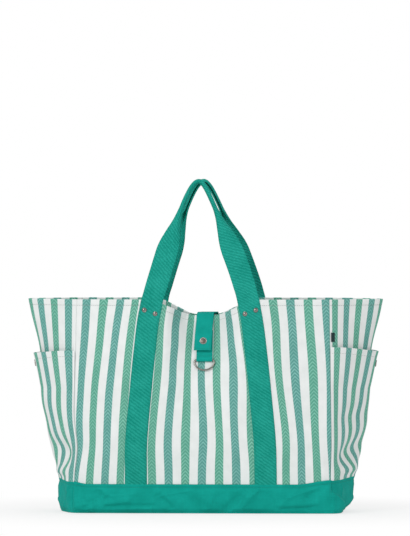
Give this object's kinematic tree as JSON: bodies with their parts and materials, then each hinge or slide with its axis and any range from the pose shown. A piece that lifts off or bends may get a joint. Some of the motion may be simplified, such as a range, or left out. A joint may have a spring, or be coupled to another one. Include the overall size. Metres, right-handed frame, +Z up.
{
  "type": "weekender bag",
  "caption": "Open-topped canvas weekender bag with striped panels, solid base, webbing handles, snapped side pockets, and a closing tab over a metal ring.",
  "frame": {"origin": "centre of the bag's footprint, on the floor", "axes": "+X to the bag's right as seen from its front, -Y out of the front panel, +Z up"},
  "size_m": [0.624, 0.208, 0.5853],
  "materials": {
    "striped_canvas": "woven cotton canvas, white with teal and green herringbone stripes",
    "green_canvas": "plain woven cotton canvas",
    "green_webbing": "twill webbing",
    "grey_board": "plain stiffener board",
    "nickel": "aged nickel plate",
    "dark_label": "plain woven tape"
  },
  "bodies": {
    "bag_body": {"back_base_band": "green_canvas", "back_left_inner_rivet": "nickel", "back_left_inner_rivet_burr": "nickel", "back_left_outer_rivet": "nickel", "back_left_outer_rivet_burr": "nickel", "back_left_strap": "green_webbing", "back_panel": "striped_canvas", "back_right_inner_rivet": "nickel", "back_right_inner_rivet_burr": "nickel", "back_right_outer_rivet": "nickel", "back_right_outer_rivet_burr": "nickel", "back_right_strap": "green_webbing", "base_board": "grey_board", "bottom_panel": "green_canvas", "closing_snap_back": "nickel", "closing_snap_stud": "nickel", "closing_tab_root": "green_webbing", "front_base_band": "green_canvas", "front_left_inner_rivet": "nickel", "front_left_inner_rivet_burr": "nickel", "front_left_outer_rivet": "nickel", "front_left_outer_rivet_burr": "nickel", "front_left_strap": "green_webbing", "front_panel": "striped_canvas", "front_right_inner_rivet": "nickel", "front_right_inner_rivet_burr": "nickel", "front_right_outer_rivet": "nickel", "front_right_outer_rivet_burr": "nickel", "front_right_strap": "green_webbing", "left_base_band": "green_canvas", "left_gusset": "striped_canvas", "left_pocket": "striped_canvas", "left_pocket_snap_back": "nickel", "left_pocket_snap_cap": "nickel", "left_pocket_snap_socket": "nickel", "left_pocket_snap_stud": "nickel", "right_base_band": "green_canvas", "right_gusset": "striped_canvas", "right_pocket": "striped_canvas", "right_pocket_snap_back": "nickel", "right_pocket_snap_cap": "nickel", "right_pocket_snap_socket": "nickel", "right_pocket_snap_stud": "nickel", "ring_tab": "green_webbing", "side_label": "dark_label"},
    "front_handle": {"front_handle": "green_webbing"},
    "back_handle": {"back_handle": "green_webbing"},
    "closing_tab": {"closing_tab": "green_webbing", "closing_snap_cap": "nickel", "closing_snap_socket": "nickel"},
    "d_ring": {"d_ring": "nickel"}
  },
  "joints": [
    {"name": "front_handle_swing", "type": "hinge", "parent": "bag_body", "child": "front_handle", "pos_m": [0, -0.0869, 0.377], "axis": [1, 0, 0], "range_deg": [0, 130]},
    {"name": "back_handle_swing", "type": "hinge", "parent": "bag_body", "child": "back_handle", "pos_m": [0, 0.0869, 0.377], "axis": [-1, 0, 0], "range_deg": [0, 130]},
    {"name": "closing_tab_lift", "type": "hinge", "parent": "bag_body", "child": "closing_tab", "pos_m": [0, 0.04081, 0.34896], "axis": [-1, 0, 0], "range_deg": [0, 110]},
    {"name": "ring_swing", "type": "hinge", "parent": "bag_body", "child": "d_ring", "pos_m": [0, -0.0735, 0.26789], "axis": [-1, 0, 0], "range_deg": [0, 130]}
  ]
}
